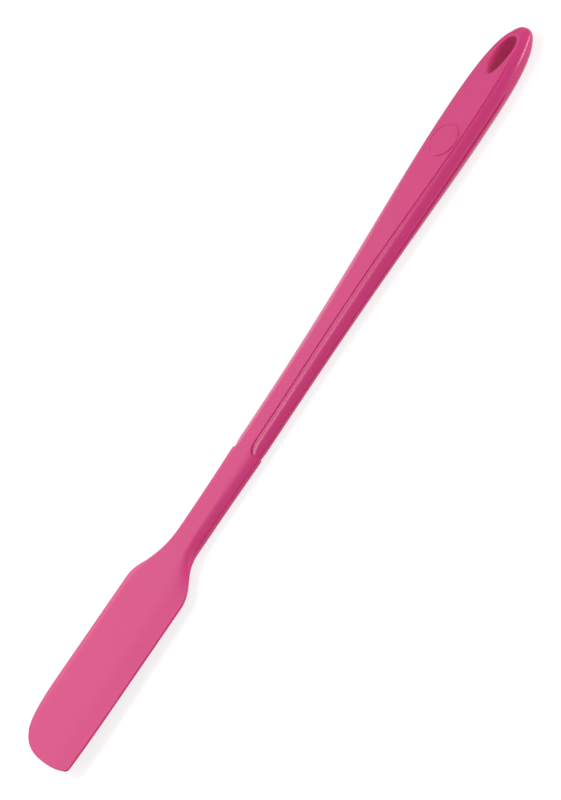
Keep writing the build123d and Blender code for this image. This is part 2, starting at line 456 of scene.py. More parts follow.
    def grip_half_width(self, x: float) -> float:
        """Half the handle's width, with its pointed oval butt.

        Args:
            x: the place along the spatula.

        Returns:
            The half width.
        """
        share = along(x, self.joint + self.grip_straight, self.wide) ** self.GRIP_EASE
        half = blend(self.grip_start_width / 2.0, self.grip_half, smooth(share))
        return half * rounded(along(x, self.wide, self.butt), self.PLAN_ROUNDNESS)

    def strip_half_width(self, x: float) -> float:
        """Half the strips' width, following the handle's edge round the butt.

        Args:
            x: the place along the spatula.

        Returns:
            The half width.
        """
        start = self.joint + self.strip_straight
        share = along(x, start, start + self.strip_widening) ** self.STRIP_EASE
        half = blend(self.strip_start_width, self.strip_width, smooth(share)) / 2.0
        return half * rounded(along(x, self.wide, self.strip_end), self.PLAN_ROUNDNESS)

    def channel_half_width(self, x: float) -> float:
        """Half the width of the channels, which flare round the handle's nose."""
        flare = self.nose_width * fall(1.0 - along(x, self.joint, self.nose))
        return self.strip_half_width(x) + flare

    def head_half_width(self, x: float, side: Side) -> float:
        """Half the width of the blade, shoulders and neck.

        Args:
            x: the place along the spatula.
            side: which side of the middle line.

        Returns:
            The half width on that side.
        """
        if side is Side.NEAR and x < self.root:
            start = self.tip + self.near_setback
            bow = 1.0 - along(x, start, start + self.near_curve_length)
            return self.blade_half - self.near_inset * bow**2
        lead = self.near_shoulder_start if side is Side.NEAR else self.far_shoulder_start
        shoulder = along(x, self.neck, self.root + lead) ** self.SHOULDER_EASE
        share = along(x, self.neck, self.joint) ** self.WAIST_EASE
        waist = blend(self.neck_width, self.neck_end_width, share)
        waist -= self.collar_taper * along(x, self.joint - self.collar_length, self.joint) ** 2
        return blend(waist, 2.0 * self.blade_half, smoother(shoulder)) / 2.0

    def head_half_thickness(self, x: float) -> float:
        """Half the thickness of the blade, shoulders and neck at their flat middle.

        Args:
            x: the place along the spatula.

        Returns:
            The half thickness.
        """
        share = along(x, self.tip, self.root) ** self.BLADE_EASE
        blade = blend(self.tip_thickness, self.root_thickness, share)
        neck = blend(self.neck_thickness, self.joint_thickness, along(x, self.neck, self.joint))
        return blend(blade, neck, smooth(along(x, self.root, self.neck))) / 2.0

    def head_side(self, x: float, side: Side) -> SideCurve:
        """The side curve of the blade, shoulders or neck.

        Args:
            x: the place along the spatula.
            side: which side of the middle line.

        Returns:
            The curve.
        """
        share = smooth(along(x, self.root, self.neck))
        margin = self.near_margin if side is Side.NEAR else self.far_margin
        neck_flat = blend(self.neck_flat, self.strip_start_width, along(x, self.neck, self.joint))
        return SideCurve(
            edge=self.head_half_width(x, side),
            flat=blend(self.blade_half - margin, neck_flat / 2.0, share),
            half=self.head_half_thickness(x),
            half_land=blend(self.rim_thickness, self.parting_land, share) / 2.0,
            fullness=share,
            rim_radius=blend(self.rim_radius, self.parting_radius, share),
            ledge=self.parting_ledge * share,
            sunk=self.parting_sunk * share,
        )

    def grip_side(self, x: float) -> SideCurve:
        """The side curve of the glossy handle, from a narrow ledge beside the strip.

        Args:
            x: the place along the spatula.

        Returns:
            The curve.
        """
        drop = self.nose_drop * (1.0 - along(x, self.joint, self.joint + self.nose_reach)) ** 2
        half = self.grip_half_width(x) - self.nose_narrowing * drop
        flat = max(self.strip_half_width(x) + self.strip_ledge, self.LEAST_FLAT * half)
        thickness = self.grip_half_thickness(x) - drop
        end = self.butt - self.ledge_end_from_butt
        return SideCurve(
            edge=half,
            flat=min(flat, half),
            half=thickness,
            half_land=min(self.parting_land, thickness) / 2.0,
            fullness=1.0,
            rim_radius=self.parting_radius * self.dome(x),
            ledge=self.parting_ledge * smooth(along(x, end, end - self.ledge_fade)),
            sunk=self.parting_sunk,
        )

    def tip_edge(self, y: float) -> float:
        """The blade's end edge, with the large far corner and the small near one.

        Args:
            y: the place across the blade.

        Returns:
            Where the edge lies along X.
        """
        half, offset = self.blade_half, self.tip_offset
        if y > -offset:
            share = solve(lambda t: -cubic(t, half, half, self.tip_pull - offset, -offset), -y)
            length = self.far_corner_length
            return self.tip + cubic(share, length, length - self.far_corner_pull, 0.0, 0.0)
        drop = half - self.near_inset - offset
        radius = (self.near_setback**2 + drop**2) / (2.0 * self.near_setback)
        x = self.tip + radius - math.sqrt(radius**2 - (y + offset) ** 2)
        inset = max((y + half - self.near_inset) / self.near_radius, 0.0)
        if inset < 1.0:
            x += self.near_radius * fall(1.0 - inset)
        return x

    def hole_reach(self, angle: float, wall: float = 0.0) -> float:
        """Distance from the hanging hole's centre to its egg-shaped wall.

        Args:
            angle: the direction from the centre, in radians from X.
            wall: how far outside the hole's wall to measure.

        Returns:
            The distance.
        """
        long = (self.hole_blunt if math.cos(angle) > 0.0 else self.hole_taper) + wall
        short = self.hole_half + wall
        return long * short / math.hypot(short * math.cos(angle), long * math.sin(angle))

    def hole_place(self, angle: float, wall: float) -> tuple[float, float]:
        """The place on the hanging hole's wall, or outside it, in a direction."""
        reach = self.hole_reach(angle, wall)
        return self.hole + reach * math.cos(angle), reach * math.sin(angle)


class Loft:
    """A mesh in millimetres that is drawn out of rings of vertices, and then made a piece."""

    def __init__(self) -> None:
        """Starts an empty mesh."""
        self.mesh: BMesh = bmesh.new()

    def ring(self, places: list[Vector]) -> list[BMVert]:
        """Starts a closed ring of vertices.

        Args:
            places: where the vertices go, in order.

        Returns:
            The vertices, in order.
        """
        made = bmesh.ops.create_circle(self.mesh, segments=len(places), radius=1.0)["verts"]
        for vert, place in zip(made, places):
            vert.co = place
        return made

    def draw(self, ring: list[BMVert], places: list[Vector]) -> list[BMVert]:
        """Extrudes a closed ring to new places.

        Args:
            ring: the vertices to draw out, in order.
            places: where the new vertices go, in the same order.

        Returns:
            The new vertices, in order.
        """
        edges = [self.edge(first, last) for first, last in zip(ring, ring[1:] + ring[:1])]
        made = bmesh.ops.extrude_edge_only(self.mesh, edges=edges)["geom"]
        fresh = {item for item in made if isinstance(item, BMVert)}
        drawn = []
        for vert, place in zip(ring, places):
            neighbours = (edge.other_vert(vert) for edge in vert.link_edges)
            partner = next(neighbour for neighbour in neighbours if neighbour in fresh)
            partner.co = place
            drawn.append(partner)
        return drawn

    def tube(self, rings: list[list[Vector]]) -> None:
        """Draws a closed ring of vertices out through rings of places.

        Args:
            rings: the rings, in order, each with the same number of places.
        """
        ring = self.ring(rings[0])
        for places in rings[1:]:
            ring = self.draw(ring, places)

    def edge(self, first: BMVert, last: BMVert) -> BMEdge:
        """The edge between two vertices of a ring."""
        return next(edge for edge in first.link_edges if edge.other_vert(first) is last)

    def close(self) -> None:
        """Merges what meets, fills what is open and turns every face outwards."""
        bmesh.ops.remove_doubles(self.mesh, verts=self.mesh.verts, dist=MERGE_DISTANCE)
        bmesh.ops.dissolve_degenerate(self.mesh, edges=self.mesh.edges, dist=MERGE_DISTANCE)
        open_edges = [edge for edge in self.mesh.edges if edge.is_boundary]
        bmesh.ops.holes_fill(self.mesh, edges=open_edges, sides=0)
        bmesh.ops.recalc_face_normals(self.mesh, faces=self.mesh.faces)

    def soften(self, edges: list[BMEdge], radius: float, segments: int) -> None:
        """Rounds edges.

        Args:
            edges: the edges to round.
            radius: how far the rounding reaches from the edge.
            segments: how many faces go round it.
        """
        bmesh.ops.bevel(
            self.mesh,
            geom=edges,
            offset=radius,
            offset_type="OFFSET",
            segments=segments,
            profile=0.5,
            affect="EDGES",
            clamp_overlap=True,
            material=-1,
        )

    def finish(self, name: str, sharp_angle: float) -> Object:
        """Turns the mesh into a piece in metres.

        Args:
            name: the piece's name.
            sharp_angle: edges that turn by more than this many degrees stay sharp in the shading.

        Returns:
            The piece's object.
        """
        bmesh.ops.scale(self.mesh, vec=(MM, MM, MM), verts=self.mesh.verts)
        for face in self.mesh.faces:
            face.smooth = True
        limit = math.radians(sharp_angle)
        for edge in self.mesh.edges:
            edge.smooth = not edge.is_manifold or edge.calc_face_angle(0.0) < limit
        open_edges = sum(1 for edge in self.mesh.edges if not edge.is_manifold)
        log.info("%s: %d faces, %d open edges", name, len(self.mesh.faces), open_edges)
        return new_object(name, self.mesh)


@dataclass(frozen=True)
class SiliconeHead:
    """The silicone moulding: blade, shoulders, neck, both strips, the eyelet and the round disc."""

    form: Form
    tip_radius: float = 0.3
    rim_radius: float = 0.27
    collar_radius: float = 0.45
    lip_radius: float = 0.3
    under_lip_radius: float = 0.12
    disc_radius: float = 6.15
    disc_height: float = 0.3
    disc_edge: float = 0.12
    disc_rim: float = 0.45
    disc_step: float = 0.14
    disc_slope: float = 0.5
    split_from_hole: float = 13.2

    # Shares of the margins' curve: of its part that runs on into the strips, and of the rest
    ROOT_SHARES = (0.0, 0.25, 0.5, 0.75, 1.0)
    SIDE_SHARES = (0.18, 0.35, 0.52, 0.67, 0.79, 0.88, 0.935, 0.965, 0.985)

    # In millimetres from the blade's end edge, closest where it is rounded over
    TIP_STEPS = (0.0, 0.04, 0.12, 0.25, 0.42, 0.65, 1.0, 1.6, 2.4, 3.5, 5.0)

    FLAT_STEPS = 10
    BLADE_STEPS = 20
    SHOULDER_STEPS = 36
    NECK_STEPS = 18
    STRIP_STEPS = 70
    ARC_STEPS = 30
    DISC_STEPS = 96
    LIP_SEGMENTS = 7
    UNDER_LIP_SEGMENTS = 4
    COLLAR_SEGMENTS = 4
    RIM_SEGMENTS = 3
    SHARP_ANGLE = 50.0

    def build(self) -> Object:
        """Makes the whole moulding: the closed body, and the disc as a shell sunk into it.

        Returns:
            The piece's object.
        """
        loft = Loft()
        self._draw_blade_and_neck(loft)
        for face in Face:
            self._draw_strip(loft, face)
        self._draw_eyelet(loft)
        loft.close()
        self._soften_rims(loft)
        self._add_disc(loft)
        return loft.finish("silicone_moulding", self.SHARP_ANGLE)

    @cached_property
    def _margin_shares(self) -> list[float]:
        """Shares of the side curve at which the rows lie.

        Returns:
            The shares, of which the first run on into the strips.
        """
        form = self.form
        curve = form.head_side(form.joint, Side.FAR)
        root = solve(curve.across, form.channel_half_width(form.joint))
        margin = [blend(root, 1.0, share) for share in self.SIDE_SHARES]
        return [root * share for share in self.ROOT_SHARES] + margin

    def _section(self, x: float, face: Face) -> list[tuple[float, float]]:
        """Rows over one face of the head's cross-section, from beside the near rim to the far one.

        Args:
            x: the place along the spatula.
            face: the upper or lower face.

        Returns:
            Each row's place across and its height over the parting plane.
        """
        form = self.form
        sides = {side: form.head_side(x, side).rows(self._margin_shares, face) for side in Side}
        near = [(-y, face.value * z) for y, z in reversed(sides[Side.NEAR])]
        far = [(y, face.value * z) for y, z in sides[Side.FAR]]
        height = face.value * form.head_half_thickness(x)
        flat = [(y, height) for y in between(near[-1][0], far[0][0], self.FLAT_STEPS)[:-1]]
        return near + flat + far

    def _head_ring(self, x: float) -> list[tuple[float, float]]:
        """The closed cross-section of the head, from the near rim over the top and back below.

        Args:
            x: the place along the spatula.

        Returns:
            Each row's place across and its height over the parting plane.
        """
        near_edge, near_height = self.form.head_side(x, Side.NEAR).seam
        far_seam = self.form.head_side(x, Side.FAR).seam
        upper = self._section(x, Face.UPPER)
        lower = self._section(x, Face.LOWER)
        return [(-near_edge, near_height)] + upper + [far_seam] + lower[::-1]

    def _blade_place(self, y: float, row: int, share: float) -> Vector:
        """A place on the blade, a share of the way from its end edge to its root.

        Args:
            y: the row's place across the blade's root.
            row: the row's number in the cross-section.
            share: how far from the end edge, from 0 to 1.

        Returns:
            The place.
        """
        form = self.form
        edge = form.tip_edge(y)
        x = blend(edge, form.root, share)
        across, height = self._head_ring(x)[row]
        slope = (form.tip_edge(y + LEVEL) - form.tip_edge(y - LEVEL)) / (2.0 * LEVEL)
        inset = (x - edge) / math.hypot(1.0, slope) / self.tip_radius
        if inset < 1.0:
            left = abs(height) - self.tip_radius * fall(1.0 - inset)
            height = math.copysign(max(left, 0.0), height)
        return Vector((x, across, form.middle(x) + height))

    def _draw_blade_and_neck(self, loft: Loft) -> None:
        """Draws the blade from its end edge, and the shoulders and neck up to the joint.

        Args:
            loft: the mesh to draw in.
        """
        form = self.form
        near, far = LEVEL - form.blade_half + form.near_inset, form.blade_half - LEVEL
        across = [min(max(y, near), far) for y, _ in self._head_ring(form.root)]
        shares = [step / form.blade_length for step in self.TIP_STEPS]
        shares += between(0.0, 1.0, self.BLADE_STEPS)[1:]
        rings = []
        for share in sorted(shares):
            rings.append([self._blade_place(y, row, share) for row, y in enumerate(across)])
        stations = between(form.root, form.neck, self.SHOULDER_STEPS)
        stations += between(form.neck, form.joint - 2.0 * self.collar_radius, self.NECK_STEPS)
        for x in stations + [form.joint]:
            rings.append([Vector((x, y, form.middle(x) + z)) for y, z in self._head_ring(x)])
        loft.tube(rings)

    def _joint_rows(self) -> list[float]:
        """The strip's rows across the joint, the same rows as the neck's."""
        reach = self.form.channel_half_width(self.form.joint) + LEVEL
        return [y for y, _ in self._section(self.form.joint, Face.UPPER) if abs(y) < reach]

    def _strip_top(self, x: float, y: float, face: Face) -> float:
        """Half thickness where a strip lies, rounded like the neck on the flared root.

        Args:
            x: the place along the spatula.
            y: the place across it.
            face: the upper or lower strip.

        Returns:
            The strip's height over the parting plane, or its depth under it.
        """
        form = self.form
        if x >= form.nose:
            return form.strip_half_thickness(x)
        curve = form.head_side(form.joint, Side.FAR)
        if abs(y) <= curve.flat:
            return curve.half
        return curve.level(curve.height(solve(curve.across, abs(y))), face)

    def _strip_row(self, x: float, face: Face, depth: float) -> list[Vector]:
        """The places of a strip's rows at one station.

        Args:
            x: the station.
            face: the upper or lower strip.
            depth: how far below the strip's face.

        Returns:
            The places, from the near side to the far one.
        """
        rows = self._joint_rows()
        width = self.form.channel_half_width(x) / rows[-1]
        return self._on_strip([(x, row * width) for row in rows], face, depth)

    def _on_strip(self, plan: list[tuple[float, float]], face: Face, depth: float) -> list[Vector]:
        """Lays places in plan on a strip's face, or a depth below it.

        Args:
            plan: the places along and across.
            face: the upper or lower strip.
            depth: how far below the strip's face.

        Returns:
            The places in space.
        """
        places = []
        for x, y in plan:
            height = self._strip_top(x, y, face) - depth
            places.append(Vector((x, y, self.form.middle(x) + face.value * height)))
        return places

    @property
    def _strip_thickness(self) -> float:
        """The strip's whole thickness."""
        return self.form.strip_depth + self.form.grip_base

    @property
    def _split(self) -> float:
        """Where the strips' straight rows end and the rings round the hanging hole start."""
        return self.form.hole - self.split_from_hole

    def _draw_strip(self, loft: Loft, face: Face) -> None:
        """Draws one strip from the joint to just before the hanging hole.

        Args:
            loft: the mesh to draw in.
            face: the upper or lower strip.
        """
        form = self.form
        rings = []
        for x in form.flare_places() + between(form.nose, self._split, self.STRIP_STEPS):
            below = self._strip_row(x, face, self._strip_thickness)
            rings.append(self._strip_row(x, face, 0.0) + below[::-1])
        loft.tube(rings)

    def _outer_loop(self, face: Face, depth: float) -> list[Vector]:
        """A loop round a strip's end: across the split, along one edge, round the end and back.

        Args:
            face: the upper or lower strip.
            depth: how far below the strip's face.

        Returns:
            The loop's places.
        """
        form = self.form
        reach = (self._split - form.wide) / (form.strip_end - form.wide)
        first = math.asin(reach ** (form.PLAN_ROUNDNESS / 2.0))
        edge = []
        for turn in between(first, QUARTER_TURN, self.ARC_STEPS):
            x = blend(form.wide, form.strip_end, math.sin(turn) ** (2.0 / form.PLAN_ROUNDNESS))
            edge.append((x, form.strip_half_width(x)))
        edge += [(x, -y) for x, y in edge[-2::-1]]
        return self._strip_row(self._split, face, depth) + self._on_strip(edge, face, depth)

    def _hole_loop(self, face: Face, wall: float, depth: float) -> list[Vector]:
        """A loop on the wall of the hanging hole, or outside it, in step with the outer loop.

        Args:
            face: the upper or lower strip.
            wall: how far outside the hole's wall.
            depth: how far below the strip's face.

        Returns:
            The loop's places.
        """
        form = self.form
        outer = self._outer_loop(face, depth)
        angles = [math.atan2(place.y, place.x - form.hole) for place in outer]
        return self._on_strip([form.hole_place(angle, wall) for angle in angles], face, depth)

    def _draw_eyelet(self, loft: Loft) -> None:
        """Draws the strips' ends round the hanging hole, and the eyelet that joins them through it.

        Args:
            loft: the mesh to draw in.
        """
        below = self._strip_thickness
        wall = self.form.eyelet_wall
        upper, lower = Face.UPPER, Face.LOWER
        start = self._outer_loop(upper, 0.0)
        rings = [start, self._hole_loop(upper, 0.0, 0.0), self._hole_loop(lower, 0.0, 0.0)]
        rings += [self._outer_loop(lower, 0.0), self._outer_loop(lower, below)]
        rings += [self._hole_loop(lower, wall, below), self._hole_loop(upper, wall, below)]
        loft.tube(rings + [self._outer_loop(upper, below), start])
        partition = [face for face in loft.mesh.faces if self._is_partition(face)]
        bmesh.ops.delete(loft.mesh, geom=partition, context="FACES")

    def _is_partition(self, face: BMFace) -> bool:
        """Whether a face is inside the moulding, where the rings meet the straight strips."""
        return all(abs(vert.co.x - self._split) < MERGE_DISTANCE for vert in face.verts)

    def _is_rim(self, edge: BMEdge) -> bool:
        """Whether an edge is on the collar's rim or on the visible rim of a strip.

        Args:
            edge: the edge.

        Returns:
            Whether it is to be rounded.
        """
        form = self.form
        for vert in edge.verts:
            x, y, z = vert.co
            if x < form.joint - LEVEL:
                return False
            if self._is_at_joint(vert) and abs(y) > form.channel_half_width(form.joint) - LEVEL:
                continue
            face = Face.UPPER if z > form.middle(x) else Face.LOWER
            lift = abs(z - form.middle(x)) - self._strip_top(x, y, face)
            if abs(abs(y) - form.channel_half_width(x)) > LEVEL or abs(lift) > LEVEL:
                return False
        covered = all(self._is_at_joint(vert) for vert in edge.verts)
        around = {vert for face in edge.link_faces for vert in face.verts}
        on_neck = any(vert.co.x < form.joint - LEVEL for vert in around)
        return self._is_sharp(edge) and (on_neck or not covered)

    def _is_at_joint(self, vert: BMVert) -> bool:
        """Whether a vertex is where the neck meets the handle."""
        return abs(vert.co.x - self.form.joint) < LEVEL

    def _is_sharp(self, edge: BMEdge) -> bool:
        """Whether an edge turns by enough to be rounded."""
        return edge.is_manifold and edge.calc_face_angle(0.0) > ROUNDED_TURN

    def _is_lip(self, edge: BMEdge) -> bool:
        """Whether an edge is on the upper or lower rim of the hanging hole.

        Args:
            edge: the edge.

        Returns:
            Whether it is to be rounded.
        """
        form = self.form
        for vert in edge.verts:
            x, y, z = vert.co
            distance = math.hypot(x - form.hole, y)
            if abs(distance - form.hole_reach(math.atan2(y, x - form.hole))) > LEVEL:
                return False
            if abs(abs(z - form.middle(x)) - form.strip_half_thickness(x)) > LEVEL:
                return False
        return self._is_sharp(edge)

    def _soften_rims(self, loft: Loft) -> None:
        """Rounds the collar's rim, the strips' rims and the lips of the hanging hole.

        Args:
            loft: the mesh, closed.
        """
        form = self.form
        rims = [edge for edge in loft.mesh.edges if self._is_rim(edge)]
        lips = [edge for edge in loft.mesh.edges if self._is_lip(edge)]
        log.info("rim edges %d, lip edges %d", len(rims), len(lips))
        upper = [edge for edge in lips if edge.verts[0].co.z > form.middle(form.hole)]
        lower = [edge for edge in lips if edge not in upper]
        loft.soften(upper, self.lip_radius, self.LIP_SEGMENTS)
        loft.soften(lower, self.under_lip_radius, self.UNDER_LIP_SEGMENTS)
        end = form.joint + LEVEL
        collar = [edge for edge in rims if all(vert.co.x < end for vert in edge.verts)]
        strip = [edge for edge in rims if edge not in collar]
        loft.soften(strip, self.rim_radius, self.RIM_SEGMENTS)
        collar = [edge for edge in collar if edge.is_valid]
        loft.soften(collar, self.collar_radius, self.COLLAR_SEGMENTS)

    def _add_disc(self, loft: Loft) -> None:
        """Adds the bare round disc, raised a little over the upper strip inside a narrow rim.

        Args:
            loft: the mesh, with everything else in it.
        """
        form, mesh = self.form, loft.mesh
        earlier = set(mesh.verts)
        made = bmesh.ops.create_circle(
            mesh, cap_ends=True, segments=self.DISC_STEPS, radius=self.disc_radius
        )
        base = made["verts"]
        cap = list(base[0].link_faces)
        grown = bmesh.ops.extrude_face_region(mesh, geom=cap, use_keep_orig=True)
        top = {item for item in grown["geom"] if isinstance(item, BMVert)}
        bmesh.ops.translate(mesh, vec=(0.0, 0.0, 2.0 * self.disc_height), verts=list(top))
        disc_faces = {face for vert in base for face in vert.link_faces}
        bmesh.ops.recalc_face_normals(mesh, faces=list(disc_faces))
        rim = [edge for edge in mesh.edges if top.issuperset(edge.verts)]
        loft.soften(rim, self.disc_edge, self.RIM_SEGMENTS)
        fresh = [face for face in mesh.faces if earlier.isdisjoint(face.verts)]
        crown = max(fresh, key=lambda face: face.calc_center_median().z)
        depth = self.disc_step
        bmesh.ops.inset_region(mesh, faces=[crown], thickness=self.disc_rim, depth=0.0)
        bmesh.ops.inset_region(mesh, faces=[crown], thickness=self.disc_slope * depth, depth=-depth)
        for vert in set(mesh.verts) - earlier:
            vert.co.x += form.disc
            face_height = form.middle(vert.co.x) + form.strip_half_thickness(vert.co.x)
            vert.co.z += face_height - self.disc_height


@dataclass(frozen=True)
class HandleGrip:
    """The glossy handle: rounded sides and butt, with channels that hold the strips."""

    form: Form
    channel_edge: float = 0.03
    hole_clearance: float = 0.02

    # Shares of the curve from the channel's edge, closest beside it and beside the parting line
    SIDE_SHARES = (0.0, 0.04, 0.1, 0.18, 0.26, 0.34, 0.42, 0.5)
    SIDE_SHARES += (0.58, 0.66, 0.74, 0.81, 0.87, 0.92, 0.955, 0.98)
    STRAIGHT_STEPS = 60
    BUTT_STEPS = 48
    END_STEPS = 14
    END_SHARE = 0.9995
    HOLE_STEPS = 64
    SHARP_ANGLE = 25.0

    def build(self) -> Object:
        """Makes the handle as one closed mesh, with room for the eyelet.

        Returns:
            The piece's object.
        """
        loft = Loft()
        loft.tube([self._ring(x, cut) for x, cut in self._stations()])
        loft.close()
        piece = loft.finish("glossy_handle", self.SHARP_ANGLE)
        self._cut_hole(piece)
        return piece

    def _stations(self) -> list[tuple[float, bool]]:
        """Places along the handle, each with whether the channels are cut there.

        Returns:
            The places, closest at the flared nose and the butt's end.
        """
        form = self.form
        cut = form.flare_places() + between(form.nose, form.wide, self.STRAIGHT_STEPS)[:-1]
        turns = quarter_turns(self.BUTT_STEPS)
        cut += [blend(form.wide, form.strip_end, math.sin(turn)) for turn in turns]
        final = blend(form.strip_end, form.butt, self.END_SHARE)
        turns = quarter_turns(self.END_STEPS)
        whole = [blend(form.strip_end, final, math.sin(turn)) for turn in turns]
        return [(x, True) for x in cut] + [(x, False) for x in whole]

    def _quadrant(self, x: float, side: Side, face: Face, cut: bool) -> list[Vector]:
        """Rows of a quarter of the cross-section, from the channel's middle to the parting line.

        Args:
            x: the place along the handle.
            side: the near or far side.
            face: the upper or lower face.
            cut: whether the channels are cut there.

        Returns:
            The rows' places, short of the parting line itself.
        """
        form = self.form
        curve = form.grip_side(x)
        channel = form.channel_half_width(x) if cut else 0.0
        edge = min(self.channel_edge, channel / 2.0)
        floor = form.floor_half_thickness(x) if cut else curve.half
        rows = [(0.0, floor), (channel, floor), (channel, curve.half - edge if cut else curve.half)]
        start = self._start_share(curve, channel + edge)
        rows += curve.rows([blend(start, 1.0, share) for share in self.SIDE_SHARES], face)
        middle = form.middle(x)
        return [Vector((x, side.value * y, middle + face.value * z)) for y, z in rows]

    def _start_share(self, curve: SideCurve, channel: float) -> float:
        """Where the side starts at the channel's edge.

        Args:
            curve: the side curve.
            channel: how far out the channel's edge is.

        Returns:
            A share below 0 on the flat, and from 0 on the curve.
        """
        if channel < curve.flat:
            return channel / curve.flat - 1.0
        return solve(curve.across, channel)

    def _ring(self, x: float, cut: bool) -> list[Vector]:
        """The closed cross-section, from the top of the far side round to the top of the near side.

        Args:
            x: the place along the handle.
            cut: whether the channels are cut there.

        Returns:
            The ring's places.
        """
        (far_upper, far_lower), (near_upper, near_lower) = (
            [self._quadrant(x, side, face, cut) for face in Face] for side in (Side.FAR, Side.NEAR)
        )
        rim, height = self.form.grip_side(x).seam
        z = self.form.middle(x) + height
        ring = far_upper + [Vector((x, rim, z))] + far_lower[:0:-1]
        return ring + near_lower + [Vector((x, -rim, z))] + near_upper[:0:-1]

    def _cut_hole(self, piece: Object) -> None:
        """Cuts the room for the eyelet through the handle.

        Args:
            piece: the handle, whose mesh is replaced by the cut one.
        """
        form = self.form
        wall = form.eyelet_wall + self.hole_clearance
        mesh = bmesh.new()
        made = bmesh.ops.create_circle(mesh, cap_ends=True, segments=self.HOLE_STEPS, radius=1.0)
        for vert in made["verts"]:
            x, y = form.hole_place(math.atan2(vert.co.y, vert.co.x), wall)
            vert.co = Vector((x, y, -form.full_thickness))
        grown = bmesh.ops.extrude_face_region(mesh, geom=list(mesh.faces), use_keep_orig=True)
        top = [item for item in grown["geom"] if isinstance(item, BMVert)]
        bmesh.ops.translate(mesh, vec=(0.0, 0.0, 3.0 * form.full_thickness), verts=top)
        bmesh.ops.recalc_face_normals(mesh, faces=mesh.faces)
        bmesh.ops.scale(mesh, vec=(MM, MM, MM), verts=mesh.verts)
        cutter = new_object("eyelet_room", mesh)
        modifier = piece.modifiers.new("eyelet_room", "BOOLEAN")
        modifier.operation = "DIFFERENCE"
        modifier.solver = "EXACT"
        modifier.object = cutter
        evaluated = piece.evaluated_get(bpy.context.evaluated_depsgraph_get())
        cut = bpy.data.meshes.new_from_object(evaluated)
        piece.modifiers.clear()
        piece.data = cut
        bpy.data.objects.remove(cutter)


def linear(code: str) -> tuple[float, float, float, float]:
    """A linear colour from an sRGB hex value.

    Args:
        code: six hex digits, such as "DC5A8C".

    Returns:
        Red, green, blue and alpha, as the shaders take them.
    """
    parts = [int(code[start : start + 2], 16) / 255.0 for start in (0, 2, 4)]
    red, green, blue = (c / 12.92 if c <= 0.04045 else ((c + 0.055) / 1.055) ** 2.4 for c in parts)
    return red, green, blue, 1.0


def add_node(
    tree: NodeTree, kind: str, settings: dict | None = None, inputs: dict | None = None
) -> Node:
    """Adds a node with its settings, values and links.

    Args:
        tree: the node tree.
        kind: the node's type.
        settings: its properties.
        inputs: its sockets by name or number, each a value or another node's output socket.

    Returns:
        The node.
    """
    node = tree.nodes.new(kind)
    for name, value in (settings or {}).items():
        setattr(node, name, value)
    for key, value in (inputs or {}).items():
        if isinstance(value, NodeSocket):
            tree.links.new(value, node.inputs[key])
        else:
            node.inputs[key].default_value = value
    return node


def clear_nodes(owner: Material | World) -> NodeTree:
    """Gives a material or world an empty node tree.

    Args:
        owner: the material or world.

    Returns:
        Its node tree.
    """
    owner.use_nodes = True
    owner.node_tree.nodes.clear()
    return owner.node_tree


class Finish:
    """What every finish shares: a node material that follows the object's own coordinates."""

    NAME = ""

    def material(self) -> Material:
        """Builds the node material.

        Returns:
            The material, named for what it stands for.
        """
        material = bpy.data.materials.new(self.NAME)
        tree = clear_nodes(material)
        place = add_node(tree, "ShaderNodeTexCoord").outputs["Object"]
        shader = add_node(tree, "ShaderNodeBsdfPrincipled", inputs=self._surface(tree, place))
        add_node(tree, "ShaderNodeOutputMaterial", inputs={"Surface": shader.outputs["BSDF"]})
        return material

    def _surface(self, tree: NodeTree, place: NodeSocket) -> dict:
        """The shader's inputs by name, each a value or another node's output socket."""
        raise NotImplementedError


@dataclass(frozen=True)
class DyedMoulding(Finish):
    """A moulding that is dyed through, with soft patches in its colour and gloss, and a relief."""

    base: str
    pale: str
    patch_mm: float
    roughness: float
    dull_roughness: float
    ior: float
    relief_mm: float
    relief_detail: float
    relief_strength: float
    relief_height_mm: float = 0.02

    PATCH_DETAIL = 3.0

    def _surface(self, tree: NodeTree, place: NodeSocket) -> dict:
        """The shader's inputs.

        Args:
            tree: the node tree.
            place: the socket with the place on the object.

        Returns:
            The inputs by name.
        """
        patches, relief = (
            add_node(
                tree,
                "ShaderNodeTexNoise",
                inputs={"Vector": place, "Scale": 1.0 / (size * MM), "Detail": detail},
            ).outputs["Fac"]
            for size, detail in (
                (self.patch_mm, self.PATCH_DETAIL),
                (self.relief_mm, self.relief_detail),
            )
        )
        colour = add_node(
            tree,
            "ShaderNodeMix",
            {"data_type": "RGBA"},
            {0: patches, 6: linear(self.base), 7: linear(self.pale)},
        )
        gloss = add_node(
            tree,
            "ShaderNodeMapRange",
            inputs={"Value": patches, "To Min": self.roughness, "To Max": self.dull_roughness},
        )
        height = self.relief_height_mm * MM
        bump = add_node(
            tree,
            "ShaderNodeBump",
            inputs={"Height": relief, "Strength": self.relief_strength, "Distance": height},
        )
        return {
            "Base Color": colour.outputs[2],
            "Roughness": gloss.outputs["Result"],
            "IOR": self.ior,
            "Normal": bump.outputs["Normal"],
        }


@dataclass(frozen=True)
class MouldedSilicone(DyedMoulding):
    """Silicone rubber, compression-moulded in a spark-finished tool and dyed through."""

    # The tool's fine pits give the eye a soft, wide sheen with no sharp reflection, over an even
    # grain. Light that scatters under the dyed skin gives a faint, wide mottle. The real grain is
    # about 0.05 mm, too fine to show, so it is drawn at 0.35 mm, about one pixel of the render.

    NAME = "moulded_silicone"

    base: str = "D43579"
    pale: str = "D93D82"
    patch_mm: float = 9.0
    roughness: float = 0.47
    dull_roughness: float = 0.53
    ior: float = 1.43
    relief_mm: float = 0.35
    relief_detail: float = 2.0
    relief_strength: float = 0.15


